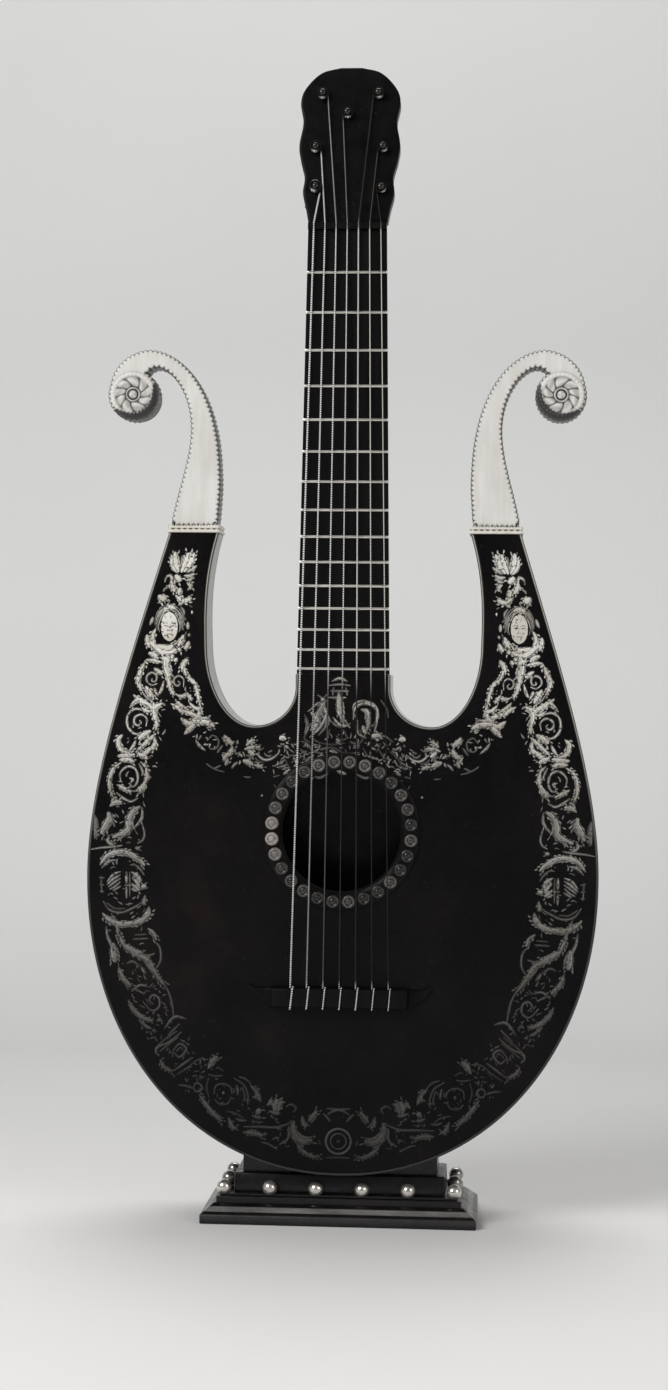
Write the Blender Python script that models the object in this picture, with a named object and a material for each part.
"""Lyre guitar, about 84 cm tall, standing on its own stepped foot.

Frame: metres, +Z up, origin at the centre of the foot's underside. The front
of the instrument faces -Y, the bass side is -X and the treble side is +X.
Run with: blender --background --python part.py
"""
import math

import bmesh
import bpy
import numpy as np
from mathutils import Matrix, Vector

for stale in list(bpy.data.objects):
    bpy.data.objects.remove(stale, do_unlink=True)

MM = 0.001

# Clearances
SEAT_GAP = 0.3 * MM
TURN_GAP = 0.3 * MM

# How far a cutting shape runs past what it cuts
CUT_PAST = 5 * MM

# Foot: a bevelled plate, a thin slab on it, and a block with a cradle
FOOT_WIDTH = 200 * MM
FOOT_DEPTH = 100 * MM
FOOT_EDGE = 6.8 * MM
FOOT_BEVEL_INSET = 9.7 * MM
FOOT_BEVEL_RISE = 7.2 * MM
SLAB_WIDTH = 178 * MM
SLAB_DEPTH = 80 * MM
SLAB_RISE = 4.5 * MM
BLOCK_WIDTH = 154 * MM
BLOCK_DEPTH = 56 * MM
BLOCK_RISE = 15 * MM
CRADLE_WIDTH = 142 * MM
CRADLE_DEPTH = 46 * MM

# Pearls that stand on the slab round the block
FOOT_PEARL = 11.1 * MM
FOOT_PEARLS_LONG = 6
FOOT_PEARL_SPAN = 167.5 * MM
FOOT_PEARL_ROWS_APART = 69 * MM
PEARL_STRIP_WIDTH = 5 * MM
PEARL_STRIP_RISE = 1.4 * MM

# Body outline, seen from the front
BODY_BOTTOM = 36 * MM
BODY_HALF_WIDTH = 185.3 * MM
BELLY_RISE = 216 * MM
# How full the belly's lower half is: 2 is a plain ellipse, more swells it
BELLY_FULLNESS = 2.09
ARM_TOP = 500 * MM
ARM_OUTER = 127.8 * MM
ARM_INNER = 91.4 * MM
ARM_WAIST_X = 99.5 * MM
ARM_WAIST_Z = 420 * MM
CROOK_X = 64 * MM
CROOK_Z = 360.7 * MM
TONGUE_HALF = 34.3 * MM
TONGUE_STRAIGHT = 9.3 * MM

# Body depth: flat front, flat back that leans in towards the arms
FRONT_Y = -45 * MM
DEPTH_AT_TAIL = 88.5 * MM
DEPTH_AT_ARMS = 30 * MM
TOP_THICKNESS = 2.6 * MM
BACK_THICKNESS = 2.5 * MM
RIB_THICKNESS = 2.2 * MM
BINDING_WIDTH = 2.0 * MM

# Inside the body
BRACE_WIDTH = 8 * MM
BRACE_HEIGHT = 13 * MM
BRACE_END_CLEAR = 6 * MM
# The upper bars lie this share of the way from the sound hole's top to the neck block
UPPER_BRACE_SHARE = 0.4
LOWER_BRACE_Z = 215 * MM
LOWER_BACK_BRACE_Z = 190 * MM
TAIL_BLOCK_HALF = 32 * MM
TAIL_BLOCK_TOP = 66 * MM
NECK_BLOCK_LENGTH = 26.3 * MM
ARM_BLOCK_BOTTOM = 466 * MM

# Sound hole and its ring of pearls
HOLE_Z = 284.6 * MM
HOLE_RADIUS = 43 * MM
PEARL_RING_RADIUS = 50.7 * MM
PEARL_RING_HALF = 6.2 * MM
PEARL_RING_RISE = 0.8 * MM
PEARL_DISC = 9.8 * MM
PEARL_DOME = 1.5 * MM
PEARL_COUNT = 28
RING_STEPS = 48

# Neck, fingerboard and nut
SCALE_LENGTH = 548 * MM
SADDLE_Z = 172 * MM
NUT_WIDTH = 57 * MM
NECK_WIDTH_AT_BODY = 67 * MM
BOARD_THICKNESS = 4 * MM
NUT_LENGTH = 4.4 * MM
NUT_RISE = 3.3 * MM
NECK_DEPTH_AT_NUT = 16.5 * MM
NECK_DEPTH_AT_BODY = 20 * MM
NECK_END_DEPTH = 8.8 * MM
NECK_END_TAPER = 24 * MM
HEEL_DEPTH = 39.5 * MM
HEEL_LENGTH = 58 * MM
TENON_HALF = 9 * MM
TENON_LENGTH = 13 * MM
TENON_FRONT = 7 * MM
TENON_DEPTH = 28 * MM

# Frets: a low crown on a tang that sits in a slot
FRET_COUNT = 15
LAST_FRET_TO_BODY = 4.1 * MM
FRET_WIDTH = 2.0 * MM
FRET_RISE = 1.0 * MM
FRET_TANG_WIDTH = 0.8 * MM
FRET_TANG_DEPTH = 1.6 * MM

# Head, tilted back from the nut
HEAD_TILT = math.radians(12)
HEAD_THICKNESS = 11 * MM
HEAD_STEP = 1.8 * MM
HEAD_HALF_OUTLINE = np.array((
    (28.6, 0.0), (30.8, 12.0), (33.3, 24.0), (32.4, 36.0), (35.6, 50.0), (36.9, 61.5),
    (34.4, 79.0), (36.6, 94.5), (33.2, 106.0), (22.0, 118.0), (8.0, 122.2),
)) * MM

# Tuning pegs: x and height up the head, and the turn each was left at in degrees
PEG_PLACES = {
    "peg_1_low_bass": (-23.8 * MM, 26.6 * MM, 15),
    "peg_2_mid_bass": (-24.4 * MM, 57.7 * MM, -20),
    "peg_3_top_bass": (-20.4 * MM, 99.8 * MM, 40),
    "peg_4_centre": (-1.9 * MM, 84.4 * MM, 90),
    "peg_5_top_treble": (20.4 * MM, 99.8 * MM, -35),
    "peg_6_mid_treble": (24.4 * MM, 57.7 * MM, 10),
    "peg_7_low_treble": (23.8 * MM, 25.8 * MM, 78),
}
PEG_TIP_RADIUS = 2.6 * MM
PEG_TIP_REACH = 8 * MM
PEG_TAPER = 0.5 * MM
PEG_COLLAR_RADIUS = 5.0 * MM
PEG_COLLAR_LENGTH = 3.0 * MM
PEG_STEM_LENGTH = 6.0 * MM
PEG_THUMB_HALF = 10.5 * MM
PEG_THUMB_THICK = 2.9 * MM
PEG_THUMB_LENGTH = 17 * MM

# Strings, from the lowest to the highest
STRING_DIAMETERS = np.array((1.20, 1.05, 0.92, 0.80, 0.98, 0.80, 0.68)) * MM
STRING_SPAN_AT_NUT = 48.6 * MM
STRING_SPAN_AT_BRIDGE = 70.8 * MM
STRING_HEIGHT_AT_NUT = 2.2 * MM
STRING_HEIGHT_AT_BRIDGE = 7.2 * MM
WINDING_TURNS = 2.6
WINDING_POINTS = 10
WINDING_AIR = 0.7 * MM
WINDING_START = 1.4 * MM

# Bridge: a tie block with two moustache tips
BRIDGE_HALF = 50 * MM
BRIDGE_LENGTH = 14 * MM
BRIDGE_HEIGHT = 9.6 * MM
BRIDGE_TIP_HALF = 66 * MM
BRIDGE_TIP_HEIGHT = 3.2 * MM
BRIDGE_TIP_CURL = 7 * MM
TIE_HOLE = 2.0 * MM
BRIDGE_CHAMFER = 1.2 * MM

# Horns: a curved ribbon that ends in a volute, on a collar
COLLAR_RISE = 5.2 * MM
COLLAR_LIP = 1.4 * MM
HORN_INSET = 1.6 * MM
VOLUTE_X = 155.3 * MM
VOLUTE_Z = 600.8 * MM
VOLUTE_RADIUS = 17.9 * MM
VOLUTE_PROUD = 1.6 * MM
VOLUTE_BORDER = 1.2 * MM
HORN_WAIST_X = 91.6 * MM
HORN_WAIST_Z = 545 * MM
HORN_THROAT_X = 112.5 * MM
HORN_THROAT_Z = 573 * MM
HORN_APEX_RADIUS = 33.9 * MM
HORN_APEX_ANGLE = math.radians(108)
HORN_FOOT_BOW = 22 * MM
HORN_FOOT_LEAN = 3.0 * MM
HORN_WAIST_BOW = 58 * MM
HORN_WAIST_LEAN = 1.6 * MM
HORN_CROWN_REACH = 26 * MM
HORN_THROAT_FALL = 24 * MM
HORN_THROAT_LEAN = 1.2 * MM
HORN_FACE_STEP = 1.5 * MM
HORN_THICKNESS = 22.5 * MM
VOLUTE_DRUM_DEPTH = 36 * MM
HORN_SPIRAL_END = 15
HORN_JOIN = 121
HORN_DOWEL_RADIUS = 6 * MM
HORN_DOWEL_LENGTH = 22 * MM

# Heights and places that follow from the sizes above
FOOT_TOP = FOOT_EDGE + FOOT_BEVEL_RISE
SLAB_TOP = FOOT_TOP + SLAB_RISE
BLOCK_TOP = SLAB_TOP + SEAT_GAP + BLOCK_RISE
BELLY_Z = BODY_BOTTOM + BELLY_RISE
NUT_Z = SADDLE_Z + SCALE_LENGTH
TONGUE_TOP = SADDLE_Z + SCALE_LENGTH * 2 ** (-FRET_COUNT / 12) - LAST_FRET_TO_BODY
TONGUE_SHOULDER = TONGUE_TOP - TONGUE_STRAIGHT
NECK_BLOCK_BOTTOM = TONGUE_TOP - NECK_BLOCK_LENGTH
HOLE_TOP = HOLE_Z + HOLE_RADIUS
UPPER_BRACE_Z = HOLE_TOP + UPPER_BRACE_SHARE * (NECK_BLOCK_BOTTOM - HOLE_TOP)
TOP_INNER_Y = FRONT_Y + TOP_THICKNESS
RIB_FRONT_Y = TOP_INNER_Y + SEAT_GAP
BINDING_STEP = BINDING_WIDTH + SEAT_GAP
NECK_TOP_Y = FRONT_Y + BOARD_THICKNESS + SEAT_GAP
NECK_FOOT_Z = TONGUE_TOP + SEAT_GAP
NUT_START_Z = NUT_Z + SEAT_GAP
NECK_END_Z = NUT_START_Z + NUT_LENGTH + SEAT_GAP
HEAD_Z = NECK_END_Z + SEAT_GAP
HEAD_Y = FRONT_Y + HEAD_STEP
BRIDGE_SEAT_Y = FRONT_Y - SEAT_GAP
COLLAR_FOOT_Z = ARM_TOP + SEAT_GAP
HORN_FOOT_Z = COLLAR_FOOT_Z + COLLAR_RISE + SEAT_GAP


def material(name, colour, roughness, metallic=0.0):
    """A Principled finish in one colour."""
    mat = bpy.data.materials.new(name)
    mat.use_nodes = True
    shader = mat.node_tree.nodes["Principled BSDF"]
    shader.inputs["Base Color"].default_value = (*colour, 1.0)
    shader.inputs["Roughness"].default_value = roughness
    shader.inputs["Metallic"].default_value = metallic
    mat.diffuse_color = (*colour, 1.0)
    return mat


LACQUER = material("black_lacquer", (0.012, 0.011, 0.012), 0.22)
EBONY = material("ebony", (0.02, 0.017, 0.016), 0.35)
IVORY = material("ivory", (0.80, 0.76, 0.68), 0.35)
PEARL = material("mother_of_pearl", (0.62, 0.60, 0.56), 0.25)
SPRUCE = material("spruce", (0.62, 0.45, 0.26), 0.6)
FRET_METAL = material("fret_silver", (0.72, 0.70, 0.66), 0.3, 1.0)
PEG_WOOD = material("peg_wood", (0.10, 0.055, 0.03), 0.3)
GUT = material("gut", (0.78, 0.70, 0.52), 0.4)
WOUND = material("wound_silver", (0.75, 0.73, 0.70), 0.3, 1.0)
GILT = material("foot_gilt", (0.60, 0.54, 0.42), 0.35)


def put(name, mesh, mat, smooth_angle=None):
    """Add a mesh to the scene as one named sub-part with its material."""
    if smooth_angle is not None:
        mesh.shade_smooth()
        mesh.set_sharp_from_angle(angle=math.radians(smooth_angle))
    mesh.materials.append(mat)
    obj = bpy.data.objects.new(name, mesh)
    bpy.context.scene.collection.objects.link(obj)
    return obj


def loft(name, sections, closed=False):
    """A mesh through rings of points that all have the same count."""
    rings = [[Vector(p) for p in ring] for ring in sections]
    count = len(rings[0])
    bm = bmesh.new()
    verts = [[bm.verts.new(p) for p in ring] for ring in rings]
    pairs = list(zip(verts, verts[1:]))
    if closed:
        pairs.append((verts[-1], verts[0]))
    for low, high in pairs:
        for i in range(count):
            j = (i + 1) % count
            bm.faces.new((low[i], low[j], high[j], high[i]))
    if not closed:
        bm.faces.new(verts[0])
        bm.faces.new(verts[-1])
    bmesh.ops.recalc_face_normals(bm, faces=bm.faces)
    mesh = bpy.data.meshes.new(name)
    bm.to_mesh(mesh)
    bm.free()
    return mesh


def slab(name, outline, front, back):
    """A plate: an outline of (x, z) points between two functions of z that give y."""
    rings = [[(x, front(z), z) for x, z in outline], [(x, back(z), z) for x, z in outline]]
    return loft(name, rings)


def box(name, low, high):
    """A box mesh from its two corners."""
    ring = [(low[0], low[1]), (high[0], low[1]), (high[0], high[1]), (low[0], high[1])]
    return loft(name, [[(x, y, z) for x, y in ring] for z in (low[2], high[2])])


def rod(name, start, end, radius, sides):
    """A cylinder mesh between two points."""
    start = Vector(start)
    axis = Vector(end) - start
    turn = axis.to_track_quat("Z", "Y").to_matrix()
    ring = [turn @ Vector((radius * math.cos(a), radius * math.sin(a), 0.0))
            for a in (2 * math.pi * i / sides for i in range(sides))]
    return loft(name, [[start + p for p in ring], [start + axis + p for p in ring]])


def balls(name, centres, radius, across, rings, squash=1.0):
    """Balls joined in one mesh; squash flattens them along Y."""
    bm = bmesh.new()
    for centre in centres:
        place = Matrix.Translation(centre) @ Matrix.Diagonal((1.0, squash, 1.0, 1.0))
        bmesh.ops.create_uvsphere(bm, u_segments=across, v_segments=rings, radius=radius, matrix=place)
    mesh = bpy.data.meshes.new(name)
    bm.to_mesh(mesh)
    bm.free()
    return mesh


def combine(target, tool_mesh, operation):
    """Join a shape to a sub-part, or cut it out, with an exact Boolean."""
    tool = bpy.data.objects.new(target.name + "_" + operation.lower(), tool_mesh)
    bpy.context.scene.collection.objects.link(tool)
    tool.hide_render = True
    tool.display_type = "WIRE"
    tool.matrix_world = target.matrix_world
    modifier = target.modifiers.new(operation.title(), "BOOLEAN")
    modifier.operation = operation
    modifier.solver = "EXACT"
    modifier.object = tool
    return tool


def bezier(points, steps):
    """Points along a cubic curve from its four control points."""
    p = np.array(points, dtype=float)
    t = np.linspace(0, 1, steps + 1)[:, None]
    return (1 - t) ** 3 * p[0] + 3 * t * (1 - t) ** 2 * p[1] + 3 * t * t * (1 - t) * p[2] + t ** 3 * p[3]


def quarter(centre, radii, start_deg, end_deg, steps, fullness=2.0):
    """Points along an elliptical arc in the (x, z) plane; a fullness over 2 swells it."""
    angles = np.radians(np.linspace(start_deg, end_deg, steps + 1))
    across, up = (np.sign(v) * np.abs(v) ** (2 / fullness) for v in (np.cos(angles), np.sin(angles)))
    return np.stack([centre[0] + radii[0] * across, centre[1] + radii[1] * up], axis=1)


def smooth_through(points, steps):
    """A Catmull-Rom curve through a few points, ends included."""
    p = np.array(points, dtype=float)
    padded = np.vstack([2 * p[0] - p[1], p, 2 * p[-1] - p[-2]])
    out = []
    for i in range(len(p) - 1):
        a, b, c, d = padded[i:i + 4]
        for t in np.linspace(0, 1, steps, endpoint=False):
            out.append(0.5 * (2 * b + (c - a) * t + (2 * a - 5 * b + 4 * c - d) * t * t
                              + (3 * b - 3 * c + d - a) * t ** 3))
    out.append(p[-1])
    return np.array(out)


def chain(*pieces):
    """Curves end to end, each shared end point kept once."""
    kept = [pieces[0]]
    for piece in pieces[1:]:
        kept.append(piece[1:])
    return np.vstack(kept)


def outer_edge():
    """The body's outer edge on the treble side, from the tail up to the arm's top."""
    belly = quarter((0, BELLY_Z), (BODY_HALF_WIDTH, BELLY_RISE), -90, 0, 18, BELLY_FULLNESS)
    rise = ARM_TOP - BELLY_Z
    lean = BODY_HALF_WIDTH - ARM_OUTER
    arm = bezier([(BODY_HALF_WIDTH, BELLY_Z), (BODY_HALF_WIDTH, BELLY_Z + 0.275 * rise),
                  (ARM_OUTER + 0.5 * lean, BELLY_Z + 0.62 * rise), (ARM_OUTER, ARM_TOP)], 12)
    return chain(belly, arm)


def inner_edge():
    """The edge from the arm's top down round the crook and up to the tongue's top."""
    drop = ARM_TOP - ARM_WAIST_Z
    arm = bezier([(ARM_INNER, ARM_TOP), (ARM_WAIST_X, ARM_TOP - 0.35 * drop),
                  (ARM_WAIST_X + 1.0 * MM, ARM_TOP - 0.63 * drop), (ARM_WAIST_X, ARM_WAIST_Z)], 5)
    out = quarter((CROOK_X, ARM_WAIST_Z), (ARM_WAIST_X - CROOK_X, ARM_WAIST_Z - CROOK_Z), 0, -90, 8)
    up = quarter((CROOK_X, TONGUE_SHOULDER), (CROOK_X - TONGUE_HALF, TONGUE_SHOULDER - CROOK_Z), -90, -180, 7)
    return chain(arm, out, up, np.array([(TONGUE_HALF, TONGUE_SHOULDER), (TONGUE_HALF, TONGUE_TOP)]))


def moved_in(curve, distance, side):
    """The curve moved sideways; side is +1 for its left and -1 for its right."""
    step = np.gradient(curve, axis=0)
    step /= np.linalg.norm(step, axis=1)[:, None]
    return curve + side * distance * np.stack([-step[:, 1], step[:, 0]], axis=1)


def end_at_height(curve, index, z):
    """Slide one end point of a curve along its last run to a given height."""
    inner = curve[1] if index == 0 else curve[-2]
    run = curve[index] - inner
    curve[index] = inner + run * (z - inner[1]) / run[1]
    return curve


def outer_inset(distance, top=None):
    """The outer edge moved into the wood, cut square at the arm's top and the middle."""
    curve = moved_in(outer_edge(), distance, 1)
    curve[0, 0] = 0.0
    return end_at_height(curve, -1, ARM_TOP if top is None else top)


def inner_inset(distance, top=None):
    """The inner edge moved into the wood, cut square at the arm's and tongue's tops."""
    curve = moved_in(inner_edge(), distance, 1)
    curve = end_at_height(curve, 0, ARM_TOP if top is None else top)
    return end_at_height(curve, -1, TONGUE_TOP)


def body_outline(distance=0.0):
    """The whole outline of a plate, its edge moved in by a distance."""
    half = np.vstack([outer_inset(distance), inner_inset(distance)])
    left = half[::-1] * (-1, 1)
    return np.vstack([half, left[:-1]])


def back_y(z):
    """Where the outside of the back lies at a height."""
    share = (z - BODY_BOTTOM) / (ARM_TOP - BODY_BOTTOM)
    return FRONT_Y + DEPTH_AT_TAIL + (DEPTH_AT_ARMS - DEPTH_AT_TAIL) * share


def back_inner_y(z):
    """Where parts inside meet the back."""
    return back_y(z) - BACK_THICKNESS - SEAT_GAP


def level(y):
    """A function of height that always gives one y."""
    return lambda z: y


def strip(name, outer, inner, front, back):
    """A bent strip between two curves in (x, z) and two functions that give y."""
    sections = []
    for (xo, zo), (xi, zi) in zip(outer, inner):
        sections.append([(xo, front(zo), zo), (xi, front(zi), zi), (xi, back(zi), zi), (xo, back(zo), zo)])
    return loft(name, sections)


def mirrored(curve, side):
    """The curve on the treble side (+1) or on the bass side (-1)."""
    return curve * (side, 1)


def make_plates():
    """Soundboard with its round hole, and the back."""
    plate = slab("soundboard", body_outline(BINDING_STEP), level(FRONT_Y), level(TOP_INNER_Y))
    board = put("soundboard", plate, LACQUER)
    hole = rod("hole", (0, FRONT_Y - CUT_PAST, HOLE_Z), (0, TOP_INNER_Y + CUT_PAST, HOLE_Z), HOLE_RADIUS, 40)
    combine(board, hole, "DIFFERENCE")
    put("back", slab("back", body_outline(), lambda z: back_y(z) - BACK_THICKNESS, back_y), LACQUER)


def make_ribs_and_bindings():
    """The bent sides and the light lines let into the front edges."""
    for side, word in ((-1, "bass"), (1, "treble")):
        outer = outer_inset(0.0)
        inner = outer_inset(RIB_THICKNESS)
        outer[0, 0] = inner[0, 0] = SEAT_GAP / 2
        put("outer_rib_" + word, strip("outer_rib", mirrored(outer, side), mirrored(inner, side),
                                       level(RIB_FRONT_Y), back_inner_y), LACQUER, 30)
        put("inner_rib_" + word, strip("inner_rib", mirrored(inner_inset(0.0), side),
                                       mirrored(inner_inset(RIB_THICKNESS), side),
                                       level(RIB_FRONT_Y), back_inner_y), LACQUER, 30)
        put("inner_binding_" + word, strip("inner_binding", mirrored(inner_inset(0.0), side),
                                           mirrored(inner_inset(BINDING_WIDTH), side),
                                           level(FRONT_Y), level(TOP_INNER_Y)), IVORY)
    right, right_in = outer_inset(0.0), outer_inset(BINDING_WIDTH)
    whole = np.vstack([mirrored(right[::-1], -1), right[1:]])
    whole_in = np.vstack([mirrored(right_in[::-1], -1), right_in[1:]])
    put("outer_binding", strip("outer_binding", whole, whole_in, level(FRONT_Y), level(TOP_INNER_Y)), IVORY)


def make_braces():
    """Spruce bars glued across the soundboard and the back."""
    ribs = outer_inset(RIB_THICKNESS)

    def half_span(z):
        return float(np.interp(z, ribs[:, 1], ribs[:, 0])) - BRACE_END_CLEAR

    for name, z in (("soundboard_brace_upper", UPPER_BRACE_Z), ("soundboard_brace_lower", LOWER_BRACE_Z)):
        half = half_span(z)
        put(name, box(name, (-half, RIB_FRONT_Y, z - BRACE_WIDTH / 2),
                      (half, RIB_FRONT_Y + BRACE_HEIGHT, z + BRACE_WIDTH / 2)), SPRUCE)
    for name, z in (("back_brace_upper", UPPER_BRACE_Z), ("back_brace_lower", LOWER_BACK_BRACE_Z)):
        half = min(half_span(z - BRACE_WIDTH / 2), half_span(z + BRACE_WIDTH / 2))
        outline = [(-half, z - BRACE_WIDTH / 2), (half, z - BRACE_WIDTH / 2),
                   (half, z + BRACE_WIDTH / 2), (-half, z + BRACE_WIDTH / 2)]
        put(name, slab(name, outline, lambda z: back_inner_y(z) - BRACE_HEIGHT, back_inner_y), SPRUCE)


def make_blocks():
    """Solid wood where the neck, the two horns and the foot take hold."""
    inside = RIB_THICKNESS + SEAT_GAP
    tail = outer_inset(inside)
    low = [(x, z) for x, z in tail if x < TAIL_BLOCK_HALF]
    edge_z = float(np.interp(TAIL_BLOCK_HALF, tail[:19, 0], tail[:19, 1]))
    right = low + [(TAIL_BLOCK_HALF, edge_z), (TAIL_BLOCK_HALF, TAIL_BLOCK_TOP)]
    outline = [(-x, z) for x, z in reversed(right)] + right[1:]
    put("tail_block", slab("tail_block", outline, level(RIB_FRONT_Y), back_inner_y), SPRUCE)

    half = TONGUE_HALF - inside
    outline = [(-half, NECK_BLOCK_BOTTOM), (half, NECK_BLOCK_BOTTOM), (half, TONGUE_TOP), (-half, TONGUE_TOP)]
    block = put("neck_block", slab("neck_block", outline, level(RIB_FRONT_Y), back_inner_y), SPRUCE)
    mortise = box("mortise", (-TENON_HALF - SEAT_GAP, NECK_TOP_Y + TENON_FRONT - SEAT_GAP,
                              NECK_FOOT_Z - TENON_LENGTH - SEAT_GAP),
                  (TENON_HALF + SEAT_GAP, NECK_TOP_Y + TENON_FRONT + TENON_DEPTH + SEAT_GAP,
                   TONGUE_TOP + CUT_PAST))
    combine(block, mortise, "DIFFERENCE")

    outer = outer_inset(inside)
    inner = inner_inset(inside)
    heights = np.linspace(ARM_BLOCK_BOTTOM, ARM_TOP, 4)
    outer_x = np.interp(heights, outer[18:, 1], outer[18:, 0])
    inner_x = np.interp(heights, inner[5::-1, 1], inner[5::-1, 0])
    for side, word in ((-1, "bass"), (1, "treble")):
        outline = list(zip(side * inner_x, heights)) + list(zip(side * outer_x[::-1], heights[::-1]))
        block = put("arm_block_" + word, slab("arm_block", outline, level(RIB_FRONT_Y), back_inner_y), SPRUCE)
        x, y = side * horn_centre_x(), horn_centre_y()
        bottom = HORN_FOOT_Z - HORN_DOWEL_LENGTH - SEAT_GAP
        socket = rod("socket", (x, y, bottom), (x, y, ARM_TOP + CUT_PAST), HORN_DOWEL_RADIUS + SEAT_GAP, 16)
        combine(block, socket, "DIFFERENCE")


def make_rosette():
    """A thin ring round the sound hole with a circle of pearl domes on it."""
    y = FRONT_Y - SEAT_GAP
    low, high = PEARL_RING_RADIUS - PEARL_RING_HALF, PEARL_RING_RADIUS + PEARL_RING_HALF
    sections = []
    for i in range(RING_STEPS):
        a = 2 * math.pi * i / RING_STEPS
        c, s = math.cos(a), math.sin(a)
        sections.append([(r * c, y - rise, HOLE_Z + r * s) for r, rise in
                         ((low, 0), (high, 0), (high, PEARL_RING_RISE), (low, PEARL_RING_RISE))])
    ring = put("soundhole_rosette", loft("rosette", sections, closed=True), PEARL, 30)
    seat = y - PEARL_RING_RISE / 2
    centres = []
    for i in range(PEARL_COUNT):
        a = 2 * math.pi * (i + 0.5) / PEARL_COUNT
        centres.append((PEARL_RING_RADIUS * math.cos(a), seat, HOLE_Z + PEARL_RING_RADIUS * math.sin(a)))
    reach = PEARL_RING_RISE / 2 + PEARL_DOME
    domes = balls("domes", centres, PEARL_DISC / 2, 8, 4, reach / (PEARL_DISC / 2))
    half = max(PEARL_DISC, high * 2)
    combine(ring, domes, "UNION")
    trim = box("trim", (-half, y, HOLE_Z - half), (half, y + 2 * reach, HOLE_Z + half))
    combine(ring, trim, "DIFFERENCE")


def neck_half_width(z):
    """Half the width of the neck and fingerboard at a height."""
    share = (z - TONGUE_TOP) / (NUT_Z - TONGUE_TOP)
    return (NECK_WIDTH_AT_BODY + (NUT_WIDTH - NECK_WIDTH_AT_BODY) * share) / 2


def neck_depth(z):
    """Depth of the neck behind the fingerboard: a slim taper, a heel and a thin end."""
    share = (z - TONGUE_TOP) / (NUT_Z - TONGUE_TOP)
    plain = NECK_DEPTH_AT_BODY + (NECK_DEPTH_AT_NUT - NECK_DEPTH_AT_BODY) * share
    heel = max(0.0, 1 - (z - NECK_FOOT_Z) / HEEL_LENGTH)
    end = max(0.0, 1 - (NECK_END_Z - z) / NECK_END_TAPER)
    return plain + (HEEL_DEPTH - plain) * heel ** 2.4 - (plain - NECK_END_DEPTH) * end ** 2


def make_neck():
    """Neck with its heel and a tenon that goes into the neck block."""
    near = np.linspace(0, 1, 8) * HEEL_LENGTH + NECK_FOOT_Z
    far = NECK_END_Z - np.linspace(1, 0, 6) * NECK_END_TAPER
    sections = []
    for z in np.concatenate([near, far]):
        half, depth = neck_half_width(z), neck_depth(z)
        angles = [math.pi * i / 12 for i in range(13)]
        sections.append([(half * math.copysign(abs(math.cos(a)) ** 0.9, math.cos(a)),
                          NECK_TOP_Y + depth * math.sin(a) ** 0.9, z) for a in angles])
    neck = put("neck", loft("neck", sections), LACQUER, 35)
    tenon = box("tenon", (-TENON_HALF, NECK_TOP_Y + TENON_FRONT, NECK_FOOT_Z - TENON_LENGTH),
                (TENON_HALF, NECK_TOP_Y + TENON_FRONT + TENON_DEPTH, NECK_FOOT_Z + TENON_LENGTH / 2))
    combine(neck, tenon, "UNION")


def fret_z(number):
    """Height of a fret: each one takes the string an equal semitone up."""
    return NUT_Z - SCALE_LENGTH * (1 - 2 ** (-number / 12))


def make_fingerboard():
    """The ebony fingerboard, flush with the soundboard, with a slot for each fret."""
    outline = [(-1, NECK_FOOT_Z), (1, NECK_FOOT_Z), (1, NUT_Z), (-1, NUT_Z)]
    outline = [(sign * neck_half_width(z), z) for sign, z in outline]
    plate = slab("fingerboard", outline, level(FRONT_Y), level(FRONT_Y + BOARD_THICKNESS))
    board = put("fingerboard", plate, EBONY)
    slots = bmesh.new()
    half = FRET_TANG_WIDTH / 2 + SEAT_GAP
    for number in range(1, FRET_COUNT + 1):
        size = Vector((2 * NECK_WIDTH_AT_BODY, 2 * (FRET_TANG_DEPTH + SEAT_GAP), 2 * half))
        place = Matrix.Translation((0, FRONT_Y, fret_z(number))) @ Matrix.Diagonal((*size, 1))
        bmesh.ops.create_cube(slots, size=1, matrix=place)
    mesh = bpy.data.meshes.new("slots")
    slots.to_mesh(mesh)
    slots.free()
    combine(board, mesh, "DIFFERENCE")


def make_frets():
    """Fifteen frets, each a crown on a tang, as long as the board is wide there."""
    crown = [(FRET_WIDTH / 2, SEAT_GAP), (FRET_WIDTH / 2, SEAT_GAP + 0.3 * FRET_RISE),
             (FRET_WIDTH / 4, SEAT_GAP + FRET_RISE)]
    half = FRET_TANG_WIDTH / 2
    right = [(half, -FRET_TANG_DEPTH), (half, SEAT_GAP)] + crown
    profile = right + [(-z, h) for z, h in reversed(right)]
    for number in range(1, FRET_COUNT + 1):
        z0 = fret_z(number)
        sections = []
        for side in (-1, 1):
            sections.append([(side * neck_half_width(z0), FRONT_Y - h, z0 + dz) for dz, h in profile])
        put("fret_%02d" % number, loft("fret", sections), FRET_METAL)


def string_x(index, span):
    """Place of a string across a span."""
    count = len(STRING_DIAMETERS)
    return span * (index / (count - 1) - 0.5)


def make_nut():
    """Ebony nut with a slot for each string."""
    half = neck_half_width(NUT_Z)
    top = FRONT_Y - NUT_RISE
    profile = [(-half, NECK_TOP_Y - SEAT_GAP), (-half, top)]
    for i, diameter in enumerate(STRING_DIAMETERS):
        x = string_x(i, STRING_SPAN_AT_NUT)
        reach = diameter / 2 + SEAT_GAP
        floor = FRONT_Y - STRING_HEIGHT_AT_NUT + reach
        profile += [(x - reach, top), (x - reach, floor), (x + reach, floor), (x + reach, top)]
    profile += [(half, top), (half, NECK_TOP_Y - SEAT_GAP)]
    sections = [[(x, y, z) for x, y in profile] for z in (NUT_START_Z, NUT_START_Z + NUT_LENGTH)]
    put("nut", loft("nut", sections), EBONY)


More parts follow.
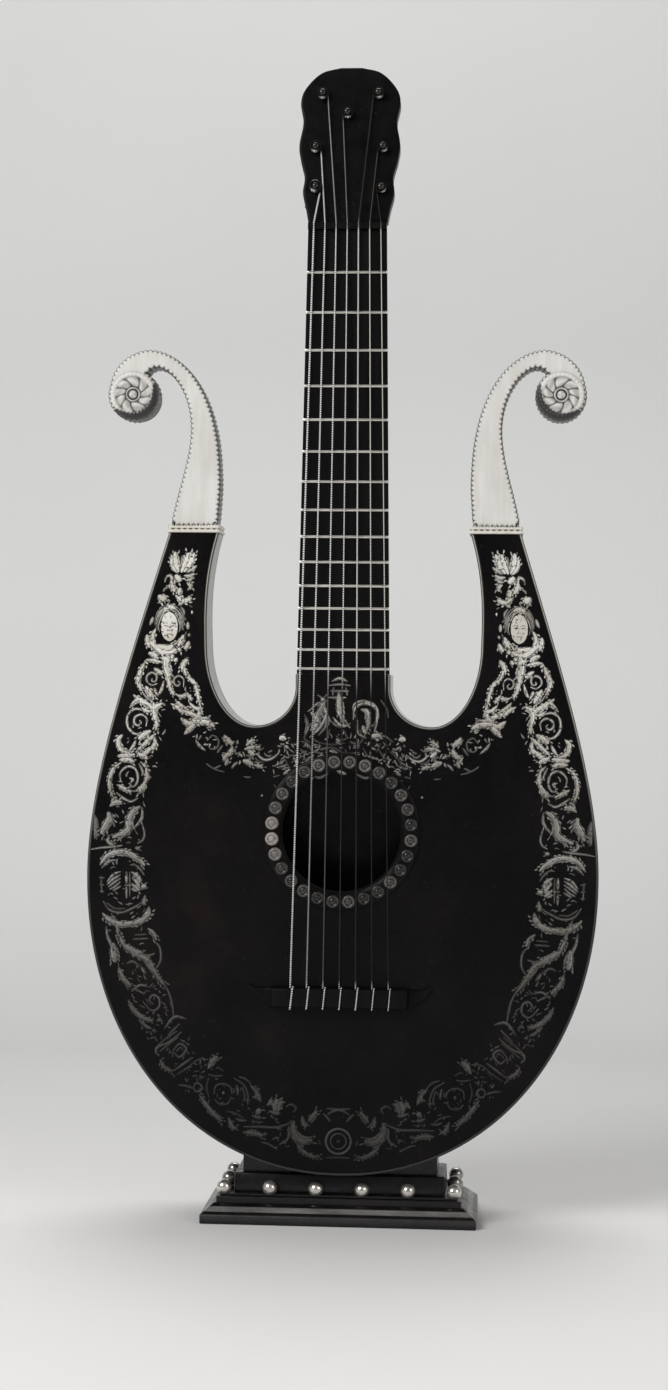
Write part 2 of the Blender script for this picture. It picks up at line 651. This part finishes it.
def head_frame():
    """An empty whose XY plane is the head's front face, +Y up the head, +Z out of it."""
    frame = bpy.data.objects.new("head_frame", None)
    frame.location = (0, HEAD_Y, HEAD_Z)
    frame.rotation_euler = (math.pi / 2 - HEAD_TILT, 0, 0)
    bpy.context.scene.collection.objects.link(frame)
    return frame


def on_head(x, up, out):
    """World place of a point given across, up and out of the head's front face."""
    turn = Matrix.Rotation(math.pi / 2 - HEAD_TILT, 3, "X")
    return Vector((0, HEAD_Y, HEAD_Z)) + turn @ Vector((x, up, out))


def make_head(frame):
    """The head: a thick board with a wavy outline and seven tapered holes."""
    half = smooth_through(HEAD_HALF_OUTLINE, 3)
    whole = np.vstack([half, half[::-1] * (-1, 1)])
    slant = HEAD_THICKNESS * math.tan(HEAD_TILT)
    front = [(x, y, 0.0) for x, y in whole]
    back = [(x, max(y, slant), -HEAD_THICKNESS) for x, y in whole]
    head = put("head", loft("head", [front, back]), LACQUER)
    head.parent = frame
    holes = bmesh.new()
    for x, up, _ in PEG_PLACES.values():
        place = Matrix.Translation((x, up, -HEAD_THICKNESS / 2))
        reach = HEAD_THICKNESS + CUT_PAST
        flare = PEG_TAPER * reach / HEAD_THICKNESS
        middle = PEG_TIP_RADIUS + PEG_TAPER / 2 + TURN_GAP
        bmesh.ops.create_cone(holes, cap_ends=True, segments=14, radius1=middle + flare / 2,
                              radius2=middle - flare / 2, depth=reach, matrix=place)
    mesh = bpy.data.meshes.new("holes")
    holes.to_mesh(mesh)
    holes.free()
    tool = combine(head, mesh, "DIFFERENCE")
    tool.parent = frame


def peg_mesh():
    """A peg along its own Z, with the head's front face at z = 0."""
    back = -HEAD_THICKNESS
    rear = PEG_TIP_RADIUS + PEG_TAPER
    collar = back - TURN_GAP
    stem = collar - PEG_COLLAR_LENGTH
    thumb = stem - PEG_STEM_LENGTH
    rows = [
        (PEG_TIP_REACH, 0.55 * PEG_TIP_RADIUS, 0.55 * PEG_TIP_RADIUS),
        (PEG_TIP_REACH - 1 * MM, PEG_TIP_RADIUS, PEG_TIP_RADIUS),
        (0.0, PEG_TIP_RADIUS, PEG_TIP_RADIUS),
        (back, rear, rear),
        (collar, rear, rear),
        (collar, PEG_COLLAR_RADIUS, PEG_COLLAR_RADIUS),
        (stem, PEG_COLLAR_RADIUS * 0.9, PEG_COLLAR_RADIUS * 0.9),
        (stem - 0.35 * PEG_STEM_LENGTH, PEG_THUMB_THICK, PEG_THUMB_THICK),
        (thumb, 0.62 * PEG_THUMB_HALF, PEG_THUMB_THICK),
        (thumb - 0.28 * PEG_THUMB_LENGTH, PEG_THUMB_HALF, 0.9 * PEG_THUMB_THICK),
        (thumb - 0.62 * PEG_THUMB_LENGTH, 0.9 * PEG_THUMB_HALF, 0.8 * PEG_THUMB_THICK),
        (thumb - 0.9 * PEG_THUMB_LENGTH, 0.5 * PEG_THUMB_HALF, 0.6 * PEG_THUMB_THICK),
        (thumb - PEG_THUMB_LENGTH, 0.16 * PEG_THUMB_HALF, 0.3 * PEG_THUMB_THICK),
    ]
    angles = [2 * math.pi * i / 12 for i in range(12)]
    return loft("peg", [[(a * math.cos(t), b * math.sin(t), z) for t in angles] for z, a, b in rows])


def make_pegs(frame):
    """Seven friction pegs put in from behind; each turns on its own axis."""
    for name, (x, up, turn) in PEG_PLACES.items():
        peg = put(name, peg_mesh(), PEG_WOOD, 40)
        peg.parent = frame
        peg.location = (x, up, 0)
        peg.rotation_euler = (0, 0, math.radians(turn))


def winding(index, radius, centre, entry):
    """Points from the nut's far side to a peg and round it, in the head's own frame."""
    way = -1 if index > 2 else 1
    coil = (PEG_TIP_RADIUS + TURN_GAP + radius) / math.cos(math.pi / WINDING_POINTS)
    across = Vector((entry[0], entry[1])) - Vector(centre)
    reach = across.length
    towards = math.atan2(across[1], across[0])
    touch = towards + way * math.acos(coil / reach)
    pitch = 2 * radius + WINDING_AIR
    points = []
    steps = int(WINDING_TURNS * WINDING_POINTS)
    for i in range(steps + 1):
        angle = touch + way * 2 * math.pi * i / WINDING_POINTS
        out = WINDING_START + radius + pitch * i / WINDING_POINTS
        points.append((centre[0] + coil * math.cos(angle), centre[1] + coil * math.sin(angle), out))
    return points


def string_route(index):
    """The whole route of a string: its tie at the bridge, the nut, the peg."""
    radius = STRING_DIAMETERS[index] / 2
    x_bridge = string_x(index, STRING_SPAN_AT_BRIDGE)
    x_nut = string_x(index, STRING_SPAN_AT_NUT)
    y_bridge = FRONT_Y - STRING_HEIGHT_AT_BRIDGE
    y_nut = FRONT_Y - STRING_HEIGHT_AT_NUT
    over = BRIDGE_SEAT_Y - BRIDGE_HEIGHT - SEAT_GAP - radius
    tail = SADDLE_Z - BRIDGE_LENGTH
    clear = SEAT_GAP + radius
    aside = 2 * radius + 0.9 * MM
    tie = [(x_bridge + aside, y_bridge - 0.6 * MM, SADDLE_Z + clear),
           (x_bridge + aside, over + 0.3 * MM, SADDLE_Z + clear),
           (x_bridge + 0.85 * aside, over, SADDLE_Z - 0.5 * MM),
           (x_bridge + 0.2 * aside, over, tail + 0.5 * MM),
           (x_bridge, over + 0.3 * MM, tail - clear),
           (x_bridge, y_bridge - 0.6 * MM, tail - clear),
           (x_bridge, y_bridge, tail + 0.3 * MM)]
    straight = [(x_bridge, y_bridge, SADDLE_Z), (x_nut, y_nut, NUT_START_Z),
                (x_nut, y_nut, NUT_START_Z + NUT_LENGTH)]
    x, up, _ = list(PEG_PLACES.values())[index]
    turn = Matrix.Rotation(HEAD_TILT - math.pi / 2, 3, "X")
    entry = turn @ (Vector(straight[-1]) - Vector((0, HEAD_Y, HEAD_Z)))
    coil = [on_head(*p) for p in winding(index, radius, (x, up), entry)]
    return [Vector(p) for p in tie + straight] + coil


def least_gap(points, diameter):
    """The least air between parts of a route that aren't neighbours along it."""
    route = [points[0]]
    for a, b in zip(points, points[1:]):
        parts = max(1, int((b - a).length / (0.4 * MM)))
        route += [a + (b - a) * (k + 1) / parts for k in range(parts)]
    p = np.array([tuple(v) for v in route])
    along = np.concatenate([[0], np.cumsum(np.linalg.norm(np.diff(p, axis=0), axis=1))])
    least = 1.0
    for i in range(len(p)):
        far = np.abs(along - along[i]) > 4 * diameter
        if far.any():
            least = min(least, float(np.linalg.norm(p[far] - p[i], axis=1).min()))
    return least - diameter


def make_strings():
    """Seven strings, each one unbroken tube from its tie to its winding."""
    for index, diameter in enumerate(STRING_DIAMETERS):
        points = string_route(index)
        print("string", index + 1, "least gap to itself %.2f mm" % (least_gap(points, diameter) / MM))
        curve = bpy.data.curves.new("string", "CURVE")
        curve.dimensions = "3D"
        curve.bevel_depth = diameter / 2
        curve.bevel_resolution = 1
        curve.use_fill_caps = True
        spline = curve.splines.new("POLY")
        spline.points.add(len(points) - 1)
        for point, place in zip(spline.points, points):
            point.co = (*place, 1.0)
        curve.materials.append(WOUND if index < 4 else GUT)
        obj = bpy.data.objects.new("string_%d" % (index + 1), curve)
        bpy.context.scene.collection.objects.link(obj)


def make_bridge():
    """Tie bridge: a block with two thin tips that curl up like a moustache."""
    middle = SADDLE_Z - BRIDGE_LENGTH / 2
    half = BRIDGE_LENGTH / 2
    run = BRIDGE_TIP_HALF - BRIDGE_HALF
    tips = [(BRIDGE_TIP_HALF - run * (1 - t), BRIDGE_TIP_CURL * t * t, half * (1 - 0.72 * t),
             BRIDGE_TIP_HEIGHT * (1 - 0.45 * t)) for t in (0.1, 0.4, 0.7, 0.9, 1.0)]
    block_end = [(BRIDGE_HALF - BRIDGE_CHAMFER, 0.0, half, BRIDGE_HEIGHT),
                 (BRIDGE_HALF, 0.0, half, BRIDGE_HEIGHT - BRIDGE_CHAMFER)]
    right = block_end + tips
    rows = [(-x, lift, wide, tall) for x, lift, wide, tall in reversed(right)] + right
    sections = []
    for x, lift, wide, tall in rows:
        edge = min(BRIDGE_CHAMFER, 0.35 * tall)
        ring = [(-wide, 0), (wide, 0), (wide, tall - edge), (wide - edge, tall), (-wide + edge, tall),
                (-wide, tall - edge)]
        sections.append([(x, BRIDGE_SEAT_Y - h, middle + lift + dz) for dz, h in ring])
    bridge = put("bridge", loft("bridge", sections), EBONY)
    holes = bmesh.new()
    for i in range(len(STRING_DIAMETERS)):
        x = string_x(i, STRING_SPAN_AT_BRIDGE)
        place = Matrix.Translation((x, FRONT_Y - STRING_HEIGHT_AT_BRIDGE, middle))
        bmesh.ops.create_cone(holes, cap_ends=True, segments=8, radius1=TIE_HOLE / 2, radius2=TIE_HOLE / 2,
                              depth=BRIDGE_LENGTH + CUT_PAST, matrix=place)
    mesh = bpy.data.meshes.new("tie_holes")
    holes.to_mesh(mesh)
    holes.free()
    combine(bridge, mesh, "DIFFERENCE")


def horn_centre_x():
    """Middle of the arm's top across."""
    return (ARM_INNER + ARM_OUTER) / 2


def horn_centre_y():
    """Middle of the arm's top from front to back."""
    return FRONT_Y + DEPTH_AT_ARMS / 2


def horn_outline():
    """The horn's outline in (x, z) on the treble side, anticlockwise from its outer foot."""
    inner_foot = ARM_INNER + HORN_INSET
    outer_foot = ARM_OUTER - HORN_INSET
    centre = np.array((VOLUTE_X, VOLUTE_Z))
    crown_angle = HORN_APEX_ANGLE
    crown = centre + HORN_APEX_RADIUS * np.array((math.cos(crown_angle), math.sin(crown_angle)))
    spiral_end = math.radians(HORN_SPIRAL_END)
    spiral = []
    for t in np.linspace(0, 1, 9)[1:]:
        angle = crown_angle + (spiral_end - crown_angle) * t
        radius = VOLUTE_RADIUS + (HORN_APEX_RADIUS - VOLUTE_RADIUS) * (1 - t) ** 1.6
        spiral.append(centre + radius * np.array((math.cos(angle), math.sin(angle))))
    join_angle = math.radians(HORN_JOIN)
    disc = quarter(centre, (VOLUTE_RADIUS, VOLUTE_RADIUS), HORN_SPIRAL_END, HORN_JOIN - 360, 18)[1:]
    throat = (HORN_THROAT_X, HORN_THROAT_Z)
    join = centre + VOLUTE_RADIUS * np.array((math.cos(join_angle), math.sin(join_angle)))
    outward = np.array((math.cos(join_angle), math.sin(join_angle)))
    under = bezier([join, join + VOLUTE_RADIUS * outward,
                    (HORN_THROAT_X - HORN_THROAT_LEAN, VOLUTE_Z + 0.45 * VOLUTE_RADIUS), throat], 9)
    outer = bezier([throat, (HORN_THROAT_X + HORN_THROAT_LEAN, HORN_THROAT_Z - HORN_THROAT_FALL),
                    (outer_foot - HORN_FOOT_LEAN, HORN_FOOT_Z + HORN_FOOT_BOW), (outer_foot, HORN_FOOT_Z)], 5)
    lower = bezier([(inner_foot, HORN_FOOT_Z), (HORN_WAIST_X, HORN_FOOT_Z + HORN_FOOT_BOW),
                    (HORN_WAIST_X - HORN_WAIST_LEAN / 2, HORN_WAIST_Z - HORN_FOOT_BOW / 2),
                    (HORN_WAIST_X, HORN_WAIST_Z)], 4)
    upper = bezier([(HORN_WAIST_X, HORN_WAIST_Z),
                    (HORN_WAIST_X + HORN_WAIST_LEAN, HORN_WAIST_Z + HORN_WAIST_BOW),
                    (crown[0] - HORN_CROWN_REACH, crown[1]), crown], 11)
    return np.vstack([lower, upper[1:], spiral, disc, under[1:], outer[1:]])


def make_horns():
    """Two horns with volutes, each dowelled through its collar into the arm."""
    front = FRONT_Y + HORN_FACE_STEP
    back = front + HORN_THICKNESS
    for side, word in ((-1, "bass"), (1, "treble")):
        outline = [(side * x, z) for x, z in horn_outline()]
        horn = put("horn_" + word, slab("horn", outline, level(front), level(back)), IVORY, 30)
        drum_end = FRONT_Y + VOLUTE_DRUM_DEPTH
        boss = rod("boss", (side * VOLUTE_X, front - VOLUTE_PROUD, VOLUTE_Z),
                   (side * VOLUTE_X, drum_end, VOLUTE_Z), VOLUTE_RADIUS - VOLUTE_BORDER, 28)
        combine(horn, boss, "UNION")
        x, y = side * horn_centre_x(), horn_centre_y()
        dowel = rod("dowel", (x, y, HORN_FOOT_Z - HORN_DOWEL_LENGTH), (x, y, HORN_FOOT_Z + 6 * MM),
                    HORN_DOWEL_RADIUS, 16)
        combine(horn, dowel, "UNION")


def make_collars():
    """Turned-edge collars between the arms and the horns."""
    x0, x1 = ARM_INNER, ARM_OUTER
    y0, y1 = FRONT_Y, FRONT_Y + DEPTH_AT_ARMS
    rows = [(0.0, 0.2), (0.12, 1.0), (0.38, 1.0), (0.5, 0.1),
            (0.62, 0.1), (0.74, 0.6), (0.9, 0.6), (1.0, -0.2)]
    for side, word in ((-1, "bass"), (1, "treble")):
        sections = []
        for share, lip in rows:
            out = COLLAR_LIP * lip
            z = COLLAR_FOOT_Z + COLLAR_RISE * share
            sections.append([(side * (x0 - out), y0 - out, z), (side * (x1 + out), y0 - out, z),
                             (side * (x1 + out), y1 + out, z), (side * (x0 - out), y1 + out, z)])
        collar = put("collar_" + word, loft("collar", sections), IVORY)
        x, y = side * horn_centre_x(), horn_centre_y()
        combine(collar, rod("bore", (x, y, COLLAR_FOOT_Z - CUT_PAST), (x, y, HORN_FOOT_Z + CUT_PAST),
                            HORN_DOWEL_RADIUS + SEAT_GAP, 16), "DIFFERENCE")


def make_foot():
    """Foot plate with a bevelled edge and slab, and the block that cradles the body."""
    inset = FOOT_BEVEL_INSET
    rows = [(0.0, FOOT_WIDTH, FOOT_DEPTH), (FOOT_EDGE, FOOT_WIDTH, FOOT_DEPTH),
            (FOOT_TOP, FOOT_WIDTH - 2 * inset, FOOT_DEPTH - 2 * inset),
            (FOOT_TOP, SLAB_WIDTH, SLAB_DEPTH), (SLAB_TOP, SLAB_WIDTH, SLAB_DEPTH)]
    sections = []
    for z, width, depth in rows:
        w, d = width / 2, depth / 2
        sections.append([(-w, -d, z), (w, -d, z), (w, d, z), (-w, d, z)])
    put("foot_plate", loft("foot_plate", sections), LACQUER)

    low = SLAB_TOP + SEAT_GAP
    half = BLOCK_WIDTH / 2
    step = box("foot_block", (-half, -BLOCK_DEPTH / 2, low), (half, BLOCK_DEPTH / 2, BLOCK_TOP))
    block = put("foot_block", step, LACQUER)
    edge = moved_in(outer_edge(), SEAT_GAP, -1)
    half = CRADLE_WIDTH / 2
    seat = [(x, z) for x, z in edge[:19] if x < half]
    seat.append((half, float(np.interp(half, edge[:19, 0], edge[:19, 1]))))
    seat[0] = (0.0, seat[0][1])
    base = BLOCK_TOP - 2 * MM
    outline = [(-half, base), (half, base)] + seat[::-1] + [(-x, z) for x, z in seat[1:]]
    combine(block, slab("cradle", outline, level(-CRADLE_DEPTH / 2), level(CRADLE_DEPTH / 2)), "UNION")


def make_foot_pearls():
    """Two rows of pearls on thin strips: the front row, and the rear row with both sides."""
    rise = SLAB_TOP + SEAT_GAP
    radius = FOOT_PEARL / 2
    xs = np.linspace(-FOOT_PEARL_SPAN / 2, FOOT_PEARL_SPAN / 2, FOOT_PEARLS_LONG)
    row = FOOT_PEARL_ROWS_APART / 2
    centre = rise + radius - 0.2 * MM
    half = PEARL_STRIP_WIDTH / 2
    top = rise + PEARL_STRIP_RISE
    end = FOOT_PEARL_SPAN / 2 + half
    flat = box("flat", (-FOOT_WIDTH, -FOOT_DEPTH, FOOT_TOP - CUT_PAST), (FOOT_WIDTH, FOOT_DEPTH, rise))

    front_strip = box("strip", (-end, -row - half, rise), (end, -row + half, top))
    front = put("foot_pearls_front", front_strip, PEARL, 40)
    combine(front, balls("pearls", [(x, -row, centre) for x in xs], radius, 8, 6), "UNION")
    combine(front, flat.copy(), "DIFFERENCE")

    path = [(-end, -half), (-end + 2 * half, -half), (-end + 2 * half, row - half),
            (end - 2 * half, row - half), (end - 2 * half, -half), (end, -half),
            (end, row + half), (-end, row + half)]
    strip_mesh = loft("strip", [[(x, y, rise) for x, y in path], [(x, y, top) for x, y in path]])
    rear = put("foot_pearls_rear", strip_mesh, PEARL, 40)
    places = [(x, row, centre) for x in xs] + [(xs[0], 0, centre), (xs[-1], 0, centre)]
    combine(rear, balls("pearls", places, radius, 8, 6), "UNION")
    combine(rear, flat.copy(), "DIFFERENCE")


make_foot()
make_foot_pearls()
make_plates()
make_ribs_and_bindings()
make_braces()
make_blocks()
make_rosette()
make_neck()
make_fingerboard()
make_frets()
make_nut()
HEAD_FRAME = head_frame()
make_head(HEAD_FRAME)
make_pegs(HEAD_FRAME)
make_strings()
make_bridge()
make_collars()
make_horns()
